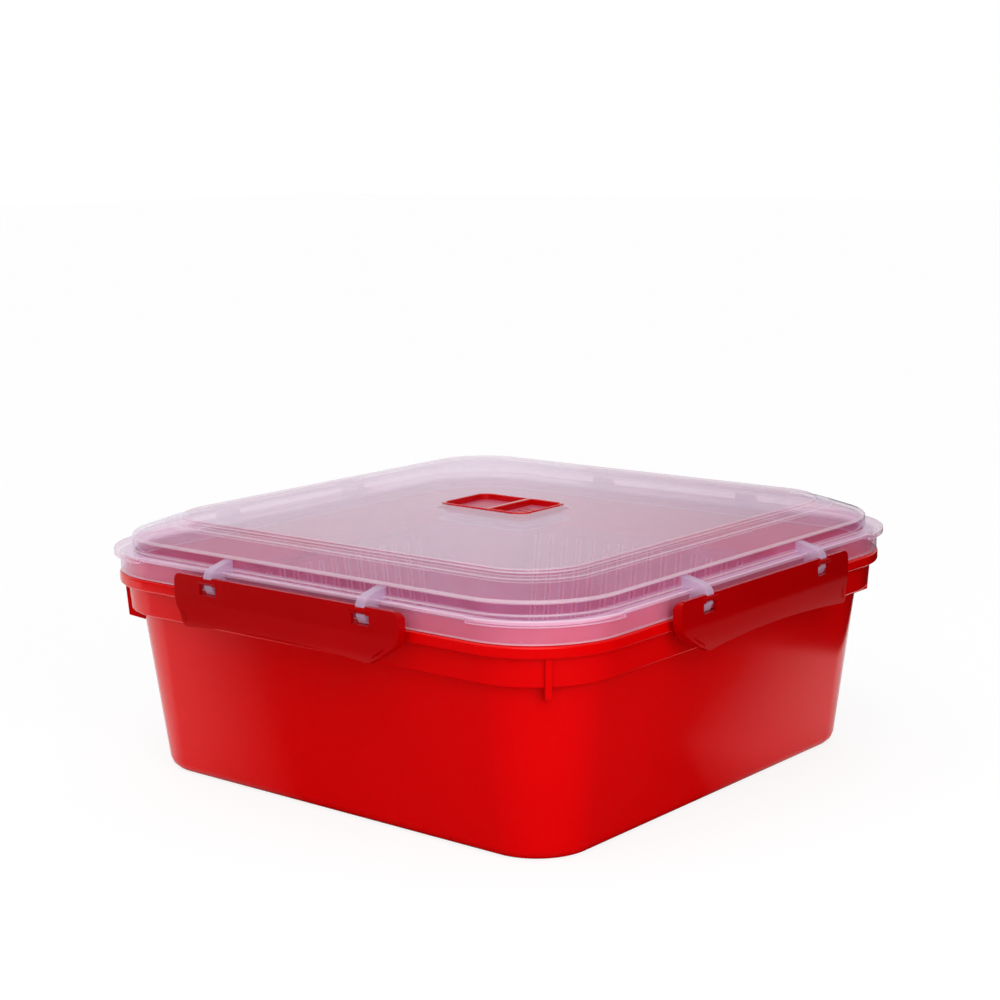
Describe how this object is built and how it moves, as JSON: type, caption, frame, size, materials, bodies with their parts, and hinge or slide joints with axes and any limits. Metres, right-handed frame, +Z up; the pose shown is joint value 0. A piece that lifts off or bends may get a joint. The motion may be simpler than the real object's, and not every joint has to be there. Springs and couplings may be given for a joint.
{
  "type": "airtight food storage container",
  "caption": "Square airtight food container with a see-through clip-on lid, hinged side latches, a tip-up steam vent and a lift-out strainer basket.",
  "frame": {"origin": "centre of the tub's flat underside, on the surface that it stands on", "axes": "+Z up through the lid, -Y the front, +X the right-hand side; the vent's long side runs along X"},
  "size_m": [0.27, 0.27, 0.106],
  "materials": {
    "red_gloss": "glossy moulded polypropylene",
    "red_latch": "satin moulded polypropylene",
    "clear_natural": "translucent uncoloured polypropylene",
    "natural_basket": "translucent uncoloured polypropylene",
    "silicone_seal": "matt food-grade silicone"
  },
  "bodies": {
    "tub": {"tub": "red_gloss"},
    "lid": {"lid": "clear_natural", "gasket": "silicone_seal"},
    "latch_front": {"latch_front": "red_latch"},
    "latch_right": {"latch_right": "red_latch"},
    "latch_back": {"latch_back": "red_latch"},
    "latch_left": {"latch_left": "red_latch"},
    "vent": {"vent_flap": "red_latch", "vent_plug": "silicone_seal"},
    "basket": {"strainer_basket": "natural_basket"}
  },
  "joints": [
    {"name": "lid_lift", "type": "slide", "parent": "tub", "child": "lid", "axis": [0, 0, 1], "range_m": [0, 0.025]},
    {"name": "basket_lift", "type": "slide", "parent": "tub", "child": "basket", "axis": [0, 0, 1], "range_m": [0, 0.02]},
    {"name": "latch_front_hinge", "type": "hinge", "parent": "lid", "child": "latch_front", "pos_m": [0, -0.1288, 0.0901], "axis": [-1, 0, 0], "range_deg": [0, 120]},
    {"name": "latch_right_hinge", "type": "hinge", "parent": "lid", "child": "latch_right", "pos_m": [0.1288, 0, 0.0901], "axis": [0, -1, 0], "range_deg": [0, 120]},
    {"name": "latch_back_hinge", "type": "hinge", "parent": "lid", "child": "latch_back", "pos_m": [0, 0.1288, 0.0901], "axis": [1, 0, 0], "range_deg": [0, 120]},
    {"name": "latch_left_hinge", "type": "hinge", "parent": "lid", "child": "latch_left", "pos_m": [-0.1288, 0, 0.0901], "axis": [0, 1, 0], "range_deg": [0, 120]},
    {"name": "vent_hinge", "type": "hinge", "parent": "lid", "child": "vent", "pos_m": [0.0187, 0, 0.1044], "axis": [0, 1, 0], "range_deg": [0, 80]}
  ],
  "couplings": [
    {"joint": "latch_front_hinge", "follows": "lid_lift", "rad_per_m": 83.7},
    {"joint": "latch_right_hinge", "follows": "lid_lift", "rad_per_m": 83.7},
    {"joint": "latch_back_hinge", "follows": "lid_lift", "rad_per_m": 83.7},
    {"joint": "latch_left_hinge", "follows": "lid_lift", "rad_per_m": 83.7},
    {"joint": "basket_lift", "follows": "lid_lift", "ratio": 0.8}
  ]
}
